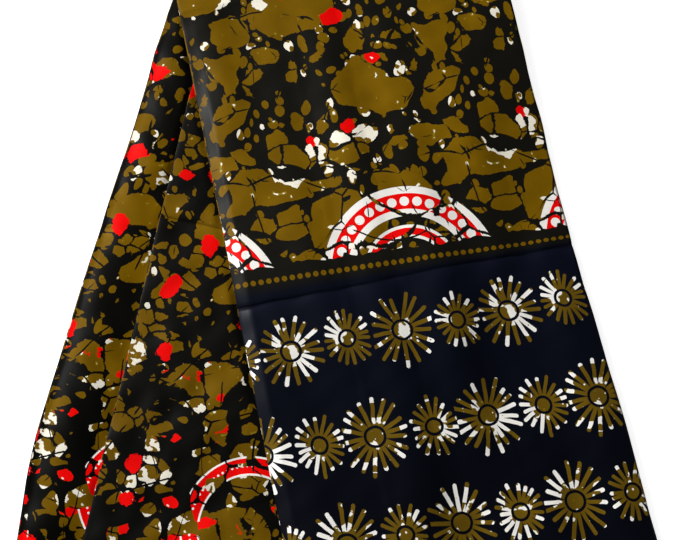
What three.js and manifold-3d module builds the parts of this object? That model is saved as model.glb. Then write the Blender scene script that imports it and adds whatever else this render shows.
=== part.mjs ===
// A six-yard length of wax-print cotton, folded back and forth into a narrow stack and doubled over once.
// Millimetres, +Z up. The top of the stack's fold lies along X; the front half runs down towards -Y and
// leans right, the back half shows from under it as two groups of layers that lean left.
import * as THREE from 'three';
import * as BufferGeometryUtils from 'three/addons/utils/BufferGeometryUtils.js';
import Module from 'manifold-3d';

// The cloth
const clothWidth = 1232;        // selvedge to selvedge, about 48 1/2 inches
const quarterWidth = clothWidth / 4;
const wideFold = 331;           // width of a layer in the outer group
const narrowFold = 284;         // width of a layer in the inner group
const outerLayers = 8;          // layers of the outer group, which is the lower one at the back
const innerLayers = 10;         // layers of the inner group, which is the upper one at the back
const layerPitch = 0.5;         // height that one layer takes up in the pressed stack

// The solids
const wall = 1;                 // thickness of each panel that shows
const gap = 0.3;                // clearance between neighbouring solids
const lipDepth = 1.6;           // how far a panel turns down over the stack's folded edge
const tuck = 12;                // how far a panel of the back half runs in under what lies on it
const edgeInset = 2.6;          // depth of the grooves between the layers at a folded edge

const lowerHeight = outerLayers * layerPitch;
const upperHeight = innerLayers * layerPitch;
const halfHeight = lowerHeight + upperHeight;
const turnRadius = halfHeight;  // the doubled-over fold is a half round of the whole half stack

// Each stretch: where its left edge leaves the fold, its lean to the right, its width, the length of its
// left edge, and how far that edge bows outwards.
const stretches = {
  front: { startX: 0, leanDegrees: 12.1, width: wideFold, length: 650, bow: 0 },
  upper: { startX: 41.5, leanDegrees: -11.1, width: narrowFold, length: 575, bow: 0 },
  lower: { startX: 0, leanDegrees: -12.8, width: wideFold, length: 565, bow: 8.5 },
};

const creaseDepth = 0.8;        // the pressed crease across the front, a quarter of the width from the selvedge
const creaseReach = 7;
const squareFrom = 250;         // sections are parallel to the fold at the top and square to the edges from here
const sagInside = 12;           // the front starts to come down this far inside the back half's right edge
const sagReach = 95;            // and reaches the surface within this distance
const leftSagReach = 45;        // it comes down off the upper group's left edge within this one
const foldHold = 60;            // the fold holds the front up over this distance

const smooth = (value) => {
  const t = Math.min(1, Math.max(0, value));
  return t * t * (3 - 2 * t);
};

const lean = (stretch) => THREE.MathUtils.degToRad(stretch.leanDegrees);

// How far the left edge bows out at a distance below the fold: a half sine that is fullest low down.
const bowAt = (stretch, below) => {
  const reach = Math.min(1, Math.max(0, below / (stretch.length * Math.cos(lean(stretch)))));
  return stretch.bow * Math.sin(Math.PI * reach * reach);
};

// Plan position of a point `across` from the left edge of a stretch and `along` down it.
const planPoint = (stretch, across, along) => {
  const angle = lean(stretch);
  const y = across * Math.sin(angle) - along * Math.cos(angle);
  const x = stretch.startX + across * Math.cos(angle) + along * Math.sin(angle);
  return { x: x - bowAt(stretch, -y), y };
};

// The distance down a stretch at a section: parallel to the fold at the top, square to the edges lower down.
const alongAt = (stretch, across, section) => {
  const skew = Math.max(0, 1 - section / squareFrom);
  return section + skew * across * Math.tan(lean(stretch));
};

// X of a stretch's left edge, or of its right edge, at a distance below the fold.
const leftEdgeX = (stretch, below) => stretch.startX + below * Math.tan(lean(stretch)) - bowAt(stretch, below);
const rightEdgeX = (stretch, below) => leftEdgeX(stretch, below) + stretch.width / Math.cos(lean(stretch));

// Height of what the front half lies on: the back half's full height, easing down past its right edge to the
// surface, and to the lower group past the upper group's left edge. Near the fold the fold holds it up.
const restHeight = (x, y) => {
  const below = Math.max(0, -y);
  const hold = smooth(below / foldHold);
  const pastRight = x - rightEdgeX(stretches.upper, below) + sagInside;
  const pastLeft = leftEdgeX(stretches.upper, below) - x;
  const leftSag = upperHeight * smooth(pastLeft / leftSagReach);
  return (halfHeight - leftSag * hold) * (1 - smooth(pastRight / sagReach) * hold);
};

const creaseAt = (along) => {
  const distance = Math.abs(along - (stretches.front.length - quarterWidth));
  return creaseDepth * (1 - smooth(distance / creaseReach));
};

// Height of the top face of each stretch, and of the underside of the layers below it. Groups sink into what
// they lie on, so that the hidden layers join into one solid.
const sunk = wall + gap + 0.2;
const topHeight = {
  front: (x, y, along) => restHeight(x, y) + halfHeight - creaseAt(along),
  upper: () => halfHeight,
  lower: () => lowerHeight,
};
const baseHeight = {
  front: (x, y) => Math.max(0, restHeight(x, y) - sunk),
  upper: () => lowerHeight - sunk,
  lower: () => 0,
};

// Closed mesh through sections, each a closed loop of the same number of points, with both ends capped.
// Every face is split on the diagonal that runs back to the left, so that faces one above the other match.
function loft(sections) {
  const count = sections[0].length;
  const positions = sections.flat().flatMap((point) => [point.x, point.y, point.z]);
  const index = [];
  for (let row = 0; row < sections.length - 1; row += 1) {
    for (let i = 0; i < count; i += 1) {
      const next = (i + 1) % count;
      const [a, b] = [row * count + i, row * count + next];
      const [c, d] = [a + count, b + count];
      if (sections[row][next].across > sections[row][i].across) {
        index.push(a, c, b, b, c, d);
      } else {
        index.push(a, d, b, a, c, d);
      }
    }
  }
  const cap = (section) => THREE.ShapeUtils.triangulateShape(
    section.map(({ across, z }) => new THREE.Vector2(across, z)), []);
  for (const [a, b, c] of cap(sections[0])) {
    index.push(a, c, b);
  }
  const last = (sections.length - 1) * count;
  for (const [a, b, c] of cap(sections.at(-1))) {
    index.push(last + a, last + b, last + c);
  }
  const geometry = new THREE.BufferGeometry();
  geometry.setAttribute('position', new THREE.Float32BufferAttribute(positions, 3));
  geometry.setIndex(index);
  return geometry;
}

// A stretch as sections at the given distances down it. `loopAt(section)` lists the loop's points in order:
// `across` is from the left edge, and the height is `drop` below the top face or, for hidden layers, at a
// `level` from 0 at their underside to 1 at their top.
function stretchSolid(name, sections, loopAt) {
  const stretch = stretches[name];
  const heightAt = ({ drop, level }, x, y, along) => {
    const top = topHeight[name](x, y, along);
    if (level === undefined) {
      return top - drop;
    }
    return THREE.MathUtils.lerp(baseHeight[name](x, y), top - wall - gap, level);
  };
  const loops = sections.map((section) => loopAt(section).map((point) => {
    const along = alongAt(stretch, point.across, section);
    const { x, y } = planPoint(stretch, point.across, along);
    return { x, y, z: heightAt(point, x, y, along), across: point.across };
  }));
  return loft(loops);
}

const evenSteps = (from, to, steps) => Array.from({ length: steps + 1 }, (_, i) => from + (to - from) * i / steps);
const stations = (width, steps) => evenSteps(edgeInset, width - edgeInset, steps);

// Loop of a panel: a wall over the stack, turned down over its left edge and, on the front, its right edge.
// `spread` grows it all round, for the space that it needs in the hidden layers.
function panelLoop(width, steps, bothLips, spread = 0) {
  const round = 0.5;
  const inner = wall + spread;
  const leftLip = [
    { across: inner, drop: lipDepth + spread },
    { across: -spread, drop: lipDepth + spread },
    { across: -spread, drop: round },
    { across: round, drop: -spread },
  ];
  const rightLip = leftLip.map(({ across, drop }) => ({ across: width - across, drop })).reverse();
  const plainRight = [
    { across: width + spread, drop: -spread },
    { across: width + spread, drop: inner },
  ];
  const top = stations(width, steps).map((across) => ({ across, drop: -spread }));
  const under = stations(width, steps).map((across) => ({ across, drop: inner })).reverse();
  const innerRight = bothLips ? [{ across: width - inner, drop: inner }] : [];
  const right = bothLips ? rightLip : plainRight;
  return [...leftLip, ...top, ...right, ...innerRight, ...under, { across: inner, drop: inner }];
}

// Loop of a bundle of hidden layers: its folded edges are ridges, and a groove runs between it and the next.
// `from` and `to` are its levels in its group, and `inset` is how far its ridges stand in from the edge.
function bundleLoop(width, steps, { inset, from, to }) {
  const left = [
    { across: edgeInset, level: from },
    { across: inset, level: (from + to) / 2 },
    { across: edgeInset, level: to },
  ];
  const right = left.map(({ across, level }) => ({ across: width - across, level })).reverse();
  const inside = stations(width, steps).slice(1, -1);
  const top = inside.map((across) => ({ across, level: to }));
  const under = inside.map((across) => ({ across, level: from })).reverse();
  return [...left, ...top, ...right, ...under];
}

// A group of hidden layers as bundles, from the lowest up. `short` is how far a bundle ends before the
// group does. All of them share the sections where any of them ends, so that each lies on the last.
function groupSolids(name, sections, steps, bundles) {
  const { width, length } = stretches[name];
  const ends = bundles.map(({ short }) => length - short);
  const shared = [...new Set([...sections, ...ends])].sort((a, b) => a - b);
  return bundles.map(({ inset }, i) => {
    const levels = { inset, from: i / bundles.length, to: (i + 1) / bundles.length };
    const reached = shared.filter((section) => section <= ends[i]);
    return stretchSolid(name, reached, () => bundleLoop(width, steps, levels));
  });
}

const wasm = await Module();
wasm.setup();

function toSolid(geometry) {
  const bare = geometry.clone();
  bare.deleteAttribute('normal');
  bare.deleteAttribute('uv');
  const merged = BufferGeometryUtils.mergeVertices(bare, 1e-4);
  return new wasm.Manifold(new wasm.Mesh({
    numProp: 3,
    vertProperties: new Float32Array(merged.attributes.position.array),
    triVerts: new Uint32Array(merged.index.array),
  }));
}

function toGeometry(solid) {
  const mesh = solid.getMesh();
  const geometry = new THREE.BufferGeometry();
  geometry.setAttribute('position', new THREE.Float32BufferAttribute(mesh.vertProperties, 3));
  geometry.setIndex(Array.from(mesh.triVerts));
  geometry.computeVertexNormals();
  return geometry;
}

// Front half
const crease = stretches.front.length - quarterWidth;
const frontSections = [
  0, 30, 70, 115, 160, 205, squareFrom, 295, crease - creaseReach, crease, crease + creaseReach,
  395, 450, 505, 560, 605, stretches.front.length,
];
const frontSteps = 12;
const frontPanel = stretchSolid('front', frontSections, () => panelLoop(wideFold, frontSteps, true));
const frontLayers = groupSolids('front', frontSections, frontSteps, [
  { inset: 0.6, short: 1.5 },
  { inset: 1.7, short: 4 },
  { inset: 0.9, short: 0.5 },
  { inset: 1.4, short: 3 },
]);

// Back half. A panel shows from its left edge to whatever lies over it, and is tucked in under that.
const backSteps = 14;
const backSections = (name, from) => evenSteps(from, stretches[name].length, backSteps);

function coverWidth(name, covers, section) {
  const stretch = stretches[name];
  const below = -planPoint(stretch, 0, section).y;
  const nearest = Math.min(...covers.map((cover) => leftEdgeX(stretches[cover], below)));
  return Math.max(0, nearest - leftEdgeX(stretch, below)) * Math.cos(lean(stretch)) + tuck;
}

// Where each panel starts below the fold: the lower one where it first shows, the upper one well under cover.
const lowerFrom = 14;
const upperFrom = 75;
const narrowest = 2 * tuck;
const lowerSteps = 3;
const upperSteps = 5;
const lowerLoop = (section, spread) => (
  panelLoop(coverWidth('lower', ['front', 'upper'], section), lowerSteps, false, spread));
const upperLoop = (section, spread) => (
  panelLoop(Math.max(narrowest, coverWidth('upper', ['front'], section)), upperSteps, false, spread));
const lowerPanel = stretchSolid('lower', backSections('lower', lowerFrom), (section) => lowerLoop(section, 0));
const upperPanel = stretchSolid('upper', backSections('upper', upperFrom), (section) => upperLoop(section, 0));

// The panels' own space, grown by the gap, with its ends moved out past the panels' ends.
const lengthened = (sections) => sections.map((section, i) => {
  if (i === 0) return section - gap;
  return i === sections.length - 1 ? section + tuck : section;
});
const lowerSpace = stretchSolid(
  'lower', lengthened(backSections('lower', lowerFrom)), (section) => lowerLoop(section, gap));
const upperSpace = stretchSolid(
  'upper', lengthened(backSections('upper', upperFrom)), (section) => upperLoop(section, gap));

const hiddenSteps = 6;
const lowerLayers = groupSolids('lower', backSections('lower', 0), hiddenSteps, [
  { inset: 0.7, short: 2 },
  { inset: 1.4, short: 0.5 },
]);
const upperLayers = groupSolids('upper', backSections('upper', 0), hiddenSteps, [
  { inset: 0.8, short: 0.5 },
  { inset: 1.4, short: 2.5 },
]);

// The doubled-over fold: the outer layer as a half-round wall, and the layers inside it.
function turnArc(radius, from, to, steps) {
  return evenSteps(from, to, steps).map((angle) => new THREE.Vector2(
    radius * Math.cos(angle), halfHeight + radius * Math.sin(angle)));
}

// Extrudes a loop in Y and Z along X.
function alongFold(loop, fromX, toX) {
  const geometry = new THREE.ExtrudeGeometry(new THREE.Shape(loop), { depth: toX - fromX, bevelEnabled: false });
  const yzToWorld = new THREE.Matrix4().set(0, 0, 1, fromX, 1, 0, 0, 0, 0, 1, 0, 0, 0, 0, 0, 1);
  geometry.applyMatrix4(yzToWorld);
  return geometry;
}

const turnSteps = 12;
const foldSpan = wideFold / Math.cos(lean(stretches.front));
const lipAngle = Math.PI / 2 - gap / turnRadius;
const turnOuter = turnArc(turnRadius, -lipAngle, lipAngle, turnSteps);
const turnInner = turnArc(turnRadius - wall, lipAngle, -lipAngle, turnSteps);
const topTurn = alongFold([...turnOuter, ...turnInner], 0, foldSpan);
const coreRadius = turnRadius - wall - gap;
const coreRoot = -5;             // the core runs back into the groups that it joins
const turnCore = alongFold([
  ...turnArc(coreRadius, -Math.PI / 2, Math.PI / 2, turnSteps),
  new THREE.Vector2(coreRoot, halfHeight + coreRadius - gap),
  new THREE.Vector2(coreRoot, halfHeight - coreRadius + gap),
], edgeInset, foldSpan - edgeInset);

const hiddenLayers = toGeometry([...frontLayers, ...upperLayers, ...lowerLayers, turnCore].map(toSolid)
  .reduce((whole, piece) => whole.add(piece))
  .subtract(toSolid(lowerSpace))
  .subtract(toSolid(upperSpace)));

const finishes = {
  front_panel: { color: 0x2a2618, roughness: 0.62, metalness: 0 },
  top_turn: { color: 0x3a2f12, roughness: 0.62, metalness: 0 },
  back_panel_upper: { color: 0x4a3a10, roughness: 0.62, metalness: 0 },
  back_panel_lower: { color: 0x53200f, roughness: 0.62, metalness: 0 },
  hidden_layers: { color: 0x191a1e, roughness: 0.7, metalness: 0 },
};
const shapes = {
  front_panel: frontPanel,
  top_turn: topTurn,
  back_panel_upper: upperPanel,
  back_panel_lower: lowerPanel,
  hidden_layers: hiddenLayers,
};

const cloth = new THREE.Group();
for (const [name, geometry] of Object.entries(shapes)) {
  geometry.computeVertexNormals();
  const mesh = new THREE.Mesh(geometry, new THREE.MeshStandardMaterial(finishes[name]));
  mesh.name = name;
  cloth.add(mesh);
}

// The part's origin is under the middle of its outline.
const outline = new THREE.Box3().setFromObject(cloth, true);
const middle = outline.getCenter(new THREE.Vector3());
cloth.position.set(-middle.x, -middle.y, -outline.min.z);

export default cloth;
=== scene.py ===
import math

import bpy
import numpy as np
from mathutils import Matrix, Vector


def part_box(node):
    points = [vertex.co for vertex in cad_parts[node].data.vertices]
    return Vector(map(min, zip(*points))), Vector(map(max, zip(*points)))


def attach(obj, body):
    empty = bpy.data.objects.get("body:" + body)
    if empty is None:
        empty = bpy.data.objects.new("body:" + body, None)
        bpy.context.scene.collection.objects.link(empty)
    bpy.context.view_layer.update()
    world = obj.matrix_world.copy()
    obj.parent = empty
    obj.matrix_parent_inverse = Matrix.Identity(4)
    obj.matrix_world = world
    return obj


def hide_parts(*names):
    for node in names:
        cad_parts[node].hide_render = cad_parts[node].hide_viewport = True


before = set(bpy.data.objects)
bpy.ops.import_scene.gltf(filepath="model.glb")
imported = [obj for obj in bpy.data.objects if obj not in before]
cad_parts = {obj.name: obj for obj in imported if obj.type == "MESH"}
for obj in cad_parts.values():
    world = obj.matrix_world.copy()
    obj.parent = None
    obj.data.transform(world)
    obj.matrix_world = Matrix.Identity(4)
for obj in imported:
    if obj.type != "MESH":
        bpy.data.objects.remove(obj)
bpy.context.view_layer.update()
print("frame loaded:", len(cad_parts), "solids")

# The cloth and how it is folded
cloth = {
    "pitch": 0.0005,        # height that one layer takes up
    "thickness": 0.0003,
    "outerLayers": 8,       # the layers next to the outside of the doubled-over fold
    "layers": 18,
    "wideFold": 0.331,
    "narrowFold": 0.284,
    "noseDepth": 0.0004,    # how far a pressed fold stands out past the flat of its layers
    "tuck": 0.010,          # how far a showing piece runs on into the layer below it
    "innerRight": 0.0406,   # the inner layers' right edge stands this far past their own width
    "joinRight": 0.3277,    # right edge of the fold that joins the two groups
    "stagger": 0.0011,      # how far apart the selvedges of the layers end
    "backStart": 0.677,     # where the back half starts, counted down the front and round the fold
    "backReach": 0.57,      # about how long the back half is
}
halfHeight = cloth["layers"] * cloth["pitch"]
lowerHeight = cloth["outerLayers"] * cloth["pitch"]
upperHeight = halfHeight - lowerHeight

# Each stretch: where its left edge leaves the fold, its lean to the right, its width, the length of its
# left edge, and how far that edge bows outwards.
stretches = {
    "front": {"startX": 0.0, "lean": math.radians(12.1), "width": 0.331, "length": 0.650, "bow": 0.0},
    "upper": {"startX": 0.0415, "lean": math.radians(-11.1), "width": 0.284, "length": 0.575, "bow": 0.0},
    "lower": {"startX": 0.0, "lean": math.radians(-12.8), "width": 0.331, "length": 0.565, "bow": 0.0085},
}

sag = {
    "squareFrom": 0.250,    # rows are parallel to the fold at the top and square to the edges from here
    "inside": 0.012,        # the front starts to come down this far inside the back half's right edge
    "reach": 0.095,
    "leftReach": 0.045,
    "foldHold": 0.060,      # the fold holds the front up this far down, and its left edge by the next
    "edgeHold": 0.150,
    "innerEdge": 0.037,     # the inner layers start this far in from the front's left edge
    "facet": 0.0048,        # part of that drop comes in one flat bevel along the pressed left edge
    "facetWidth": 0.0122,
    "puff": (0.0020, 0.0007),       # how far the upper group swells up beside the front's left edge
    "puffReach": (0.0046, 0.020),
    "crest": 0.0052,        # the lower group swells up from its left edge, which dips, to a soft crest
    "crestDip": 0.0013,
    "crestRise": 0.023,
    "crestFall": (0.0040, 0.038),   # and comes down again by this much over this distance
    "lowest": 0.0031,       # nothing sinks further than this
    "crown": 0.0016,        # a long soft crown down the front, between these two places across it
    "crownRise": (0.06, 0.11),
    "crownFall": (0.17, 0.13),
    "frontSink": 0.0018,    # hidden layers lie lower by up to this much in the front half
    "backSink": 0.0015,
}

foldLow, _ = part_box("top_turn")
cornerX, cornerY = foldLow[0], foldLow[1] - 0.0003      # left end of the doubled-over fold


def smoothStep(value):
    # 3t^2 - 2t^3 of the value held between 0 and 1
    t = np.clip(value, 0.0, 1.0)
    return t * t * (3 - 2 * t)


def softWaves(x, y, seed, count, shortest, longest):
    # mean of cosine waves with random headings, phases and lengths between the two given
    rng = np.random.default_rng(seed)
    total = np.zeros(np.broadcast(x, y).shape)
    for heading, phase, mix in rng.random((count, 3)):
        number = 2 * math.pi / (shortest * (longest / shortest) ** mix)
        total += np.cos(number * (x * math.cos(heading * 7) + y * math.sin(heading * 7)) + phase * 7)
    return total / math.sqrt(count)


# Soft swells over the cloth: height, seed, number of waves, shortest and longest wave
swells = {
    "front": (0.00050, 5, 7, 0.09, 0.26),
    "frontAcross": (0.00130, 8, 6, 0.050, 0.120),
    "frontFine": (0.00026, 6, 9, 0.022, 0.060),
    "back": (0.00070, 0, 6, 0.06, 0.20),
    "backDown": (0.00080, 20, 5, 0.035, 0.090),
    "backFine": (0.00052, 9, 9, 0.024, 0.065),
}


def swell(kind, x, y, seed=0):
    height, offset, count, shortest, longest = swells[kind]
    return height * softWaves(x, y, seed + offset, count, shortest, longest)


def bowAt(stretch, below):
    # the bow times sin(pi t^2), t running from 0 at the fold to 1 at the stretch's end
    reach = np.clip(below / (stretch["length"] * math.cos(stretch["lean"])), 0.0, 1.0)
    return stretch["bow"] * np.sin(math.pi * reach ** 2)


def planPlace(stretch, across, along):
    # a turn by the lean about the start on the fold, less the bow
    turn = stretch["lean"]
    y = across * math.sin(turn) - along * math.cos(turn)
    x = stretch["startX"] + across * math.cos(turn) + along * math.sin(turn) - bowAt(stretch, -y)
    return x, y


def alongAt(stretch, across, section):
    # rows start parallel to the fold and turn square to the edges by squareFrom
    skew = np.maximum(0.0, 1 - section / sag["squareFrom"])
    return section + skew * across * math.tan(stretch["lean"])


def leftEdgeX(stretch, below):
    return stretch["startX"] + below * math.tan(stretch["lean"]) - bowAt(stretch, below)


def rightEdgeX(stretch, below):
    return leftEdgeX(stretch, below) + stretch["width"] / math.cos(stretch["lean"])


def restHeight(x, y):
    # height of what the front lies on: the whole back half, easing off past its right edge and its upper
    # group, each by smoothStep(distance / reach)
    below = np.maximum(0.0, -y)
    hold = smoothStep(below / sag["foldHold"])
    pastRight = x - rightEdgeX(stretches["upper"], below) + sag["inside"]
    pastLeft = leftEdgeX(stretches["upper"], below) - x
    leftSag = upperHeight * smoothStep(pastLeft / sag["leftReach"]) * smoothStep(below / sag["edgeHold"])
    return (halfHeight - leftSag) * (1 - smoothStep(pastRight / sag["reach"]) * hold)


# Pressed creases. Those across the cloth lie where it was folded in four between its selvedges; those
# along it are older and fainter. Each: place, slope, height (negative for a trough), sharpness, and where
# it starts and ends.
frontCreases = {
    "across": [
        {"at": 0.342, "slope": 0.013, "height": -0.0018, "sharp": 0.0014, "start": -0.1, "end": 0.5},
        {"at": 0.342, "slope": 0.013, "height": -0.0022, "sharp": 0.0100, "start": -0.1, "end": 0.5},
        {"at": 0.034, "slope": 0.0, "height": 0.0014, "sharp": 0.0060, "start": -0.1, "end": 0.135},
        {"at": 0.188, "slope": 0.02, "height": -0.00012, "sharp": 0.0015, "start": 0.05, "end": 0.20},
    ],
    "down": [
        {"at": 0.012, "slope": 0.0, "height": 0.00030, "sharp": 0.0016, "start": 0.02, "end": 0.66},
        {"at": 0.089, "slope": 0.01, "height": -0.00034, "sharp": 0.0022, "start": 0.30, "end": 0.56},
        {"at": 0.104, "slope": -0.006, "height": 0.00060, "sharp": 0.0040, "start": 0.06, "end": 0.60},
        {"at": 0.155, "slope": 0.0, "height": -0.00055, "sharp": 0.0030, "start": 0.03, "end": 0.62},
        {"at": 0.218, "slope": 0.012, "height": 0.00036, "sharp": 0.0026, "start": 0.22, "end": 0.66},
        {"at": 0.283, "slope": -0.01, "height": -0.00034, "sharp": 0.0022, "start": 0.02, "end": 0.31},
    ],
}
upperCreases = {
    "across": [
        {"at": 0.247, "slope": 0.0, "height": -0.0012, "sharp": 0.0018, "start": -0.1, "end": 0.12},
        {"at": 0.247, "slope": 0.0, "height": -0.0014, "sharp": 0.0090, "start": -0.1, "end": 0.12},
    ],
    "down": [
        {"at": 0.022, "slope": 0.02, "height": -0.00016, "sharp": 0.0016, "start": 0.10, "end": 0.40},
        {"at": 0.058, "slope": -0.01, "height": -0.00020, "sharp": 0.0016, "start": 0.26, "end": 0.58},
    ],
}
lowerCreases = {
    "across": [
        {"at": 0.257, "slope": 0.0, "height": -0.0010, "sharp": 0.0018, "start": -0.1, "end": 0.07},
        {"at": 0.257, "slope": 0.0, "height": -0.0012, "sharp": 0.0090, "start": -0.1, "end": 0.07},
    ],
    "down": [
        {"at": 0.018, "slope": 0.01, "height": -0.00018, "sharp": 0.0016, "start": 0.05, "end": 0.45},
        {"at": 0.036, "slope": -0.02, "height": -0.00014, "sharp": 0.0016, "start": 0.28, "end": 0.57},
    ],
}


def creaseRelief(creases, across, along, seed):
    # each crease is its height times exp(-distance / sharp), faded in and out at its two ends; a sharp
    # trough also gets a painted shade line, exp(-distance / 0.9 mm), as strong as it is deep up to 1.5 mm,
    # and one across the cloth a painted highlight band just below it: minus 0.9 (1 - exp(-past / 1.2 mm))
    # exp(-past / 6 mm)
    relief = np.zeros(across.shape)
    line = np.zeros(across.shape)
    for kind, place, run in (("across", along, across), ("down", across, along)):
        for number, crease in enumerate(creases[kind]):
            kink = 0.0007 * softWaves(run, 0 * run, seed + number, 3, 0.03, 0.14)
            offset = place - crease["at"] - crease["slope"] * run - kink
            distance = np.abs(offset)
            shown = smoothStep((run - crease["start"]) / 0.04) * smoothStep((crease["end"] - run) / 0.04)
            uneven = 0.8 + 0.3 * softWaves(run, 0 * run, seed + 40 + number, 3, 0.02, 0.09)
            relief += crease["height"] * uneven * shown * np.exp(-distance / crease["sharp"])
            if crease["sharp"] < 0.0025:
                # painted shade along a sharp trough; below one across the cloth, a painted highlight band
                # (negative values)
                creaseShading = np.exp(-distance / 0.0009)
                if kind == "across":
                    past = np.maximum(offset, 0.0)
                    creaseShading -= 0.9 * (1 - np.exp(-past / 0.0012)) * np.exp(-past / 0.006)
                line += max(0.0, min(1.0, -crease["height"] / 0.0015)) * shown * creaseShading
    return relief, np.clip(line, -1.0, 1.0)


# The layers as one path through the stack
innerStart = stretches["upper"]["startX"]
foldLean = stretches["front"]["lean"]
clothPhase = {"lower": 0.118, "upper": 0.046}       # shifts the print along the layers that don't show


def layerFacts():
    # for every layer: its left and right edge on the fold, the folds there, and the cloth's length there
    facts = {}
    place = cloth["wideFold"]
    for layer in range(1, cloth["layers"] + 1):
        outer = layer <= cloth["outerLayers"]
        width = cloth["wideFold"] if outer else cloth["narrowFold"]
        if layer == 5:
            place -= clothPhase["lower"]
        if layer == 12:
            place -= clothPhase["upper"]
        left = 0.0 if outer else innerStart
        right = (0.0 if outer else cloth["innerRight"]) + width
        if layer in (cloth["outerLayers"], cloth["outerLayers"] + 1):
            right = cloth["joinRight"]
        odd = layer % 2 == 1
        first, place = place, place - width
        facts[layer] = {
            "left": left, "right": right / math.cos(foldLean),
            "leftFold": layer if odd else layer - 1, "rightFold": layer - 1 if odd else layer,
            "leftPlace": place if odd else first, "rightPlace": first if odd else place,
        }
    return facts


layers = layerFacts()
foldSteps = 5


def layerPath(runs):
    # samples in order along the runs, each a layer and its shares of the width, with a half-round nose
    # between one layer and the next: the layer number eases over by (1 - cos) / 2, the nose goes out by sin
    keys = ("left", "right", "leftFold", "rightFold", "leftPlace", "rightPlace")
    columns = {key: [] for key in (*keys, "layer", "share", "nose")}

    def add(layer, shares, numbers, noses):
        for key in keys:
            columns[key].append(np.full(len(shares), layers[layer][key], dtype=float))
        columns["layer"].append(np.asarray(numbers, dtype=float))
        columns["share"].append(np.asarray(shares, dtype=float))
        columns["nose"].append(np.asarray(noses, dtype=float))

    for number, (layer, shares) in enumerate(runs):
        add(layer, shares, np.full(len(shares), layer), np.zeros(len(shares)))
        if number < len(runs) - 1:
            turn = math.pi * np.arange(1, foldSteps + 1) / (foldSteps + 1)
            side = -1 if layer % 2 == 1 else 1
            share = np.full(foldSteps, shares[-1])
            add(layer, share, layer + (1 - np.cos(turn)) / 2, side * cloth["noseDepth"] * np.sin(turn))
    return {key: np.concatenate(parts) for key, parts in columns.items()}


def edgeWave(places):
    # how far each fold strays from its line, row by row: a small constant and slow waves of its own
    rng = np.random.default_rng(31)
    showing = [0, 1, 7, 17]         # the folds that the showing pieces end in stay nearer their line
    strays = rng.uniform(-0.0008, 0.0009, cloth["layers"] + 1)
    strays[showing] = 0.0002
    waves = np.stack([softWaves(places, 0 * places, 70 + fold, 4, 0.05, 0.4)
                      for fold in range(len(strays))])
    heights = np.full(len(strays), 0.00045)
    heights[showing] = 0.00030
    return strays[:, None] + heights[:, None] * waves


# How the two outer edges stray: steps of a size, start and reach, and bulges of a size, middle and width
drifts = {
    "frontStart": -0.0009,
    "frontSteps": [(-0.0010, 0.26, 0.04), (0.0027, 0.38, 0.04), (0.0022, 0.46, 0.07)],
    "lowerSteps": [(0.0018, 0.0, 0.03), (0.0018, 0.16, 0.08)],
    "lowerBulges": [(0.0014, 0.075, 0.025), (0.0034, 0.490, 0.058)],
}


def stepsAt(places, steps):
    # the sum of size * smoothStep((place - start) / reach)
    return sum(size * smoothStep((places - start) / reach) for size, start, reach in steps)


def frontDrift(places):
    # the front's right edge: in by 1 to 2 mm as far as the second crease, then out by 3 mm, and none of it
    # on the back
    along = stretches["front"]["length"] - places
    drift = drifts["frontStart"] + stepsAt(along, drifts["frontSteps"])
    return drift * (1 - smoothStep((places - cloth["backStart"]) / 0.10))


def lowerDrift(places):
    # the lower group's left edge: eased out to the left down the back, with bulges of
    # size * exp(-((below - middle) / width)^2)
    below = places - cloth["backStart"]
    out = stepsAt(below, drifts["lowerSteps"])
    for size, middle, width in drifts["lowerBulges"]:
        out += size * np.exp(-((below - middle) / width) ** 2)
    return -out * (below > 0)


def foldPlace(path, places):
    # where each sample crosses the fold line, for each row
    wave = edgeWave(places)
    outer = (path["layer"] < cloth["outerLayers"] + 0.5)[:, None]
    left = path["left"][:, None] + wave[path["leftFold"].astype(int)] + lowerDrift(places) * outer
    right = path["right"][:, None] + wave[path["rightFold"].astype(int)] + frontDrift(places)
    return left + path["share"][:, None] * (right - left) + path["nose"][:, None]


def layerRadius(path):
    return (cloth["layers"] + 0.5 - path["layer"])[:, None] * cloth["pitch"]


def endStagger(path, toEnd):
    # the selvedges of the layers end a little apart
    stray = softWaves(path["layer"], 0 * path["layer"], 12, 3, 1.3, 5.0)[:, None]
    return cloth["stagger"] * stray * smoothStep(1 - toEnd / 0.05)


def clothPlace(path, parity, sideways, along):
    # the print's own coordinates: along the layers' length, and across from the front selvedge
    place = (path["leftPlace"] + path["share"] * (path["rightPlace"] - path["leftPlace"]))[:, None]
    return np.stack([place + parity * sideways, along], axis=-1)


printSkew = {"edge": 0.036, "stars": 0.022, "body": 0.061, "middle": 0.037}
skewChanges = [("edge", "stars", 0.19, 0.06), ("stars", "body", 0.292, 0.026),
               ("body", "middle", 0.36, 0.20)]


def skewAt(fromSelvedge):
    # how far the print leans across the strip: eased from one value to the next down the cloth
    steps = [(printSkew[after] - printSkew[before], start, reach)
             for before, after, start, reach in skewChanges]
    return printSkew["edge"] + stepsAt(fromSelvedge, steps)


def hiddenSink(across, width, depth):
    # hidden layers lie lower between their folds, as their wider grid cuts across the swells
    return depth * smoothStep((across - 0.002) / 0.014) * smoothStep((width - 0.004 - across) / 0.02)


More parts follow.
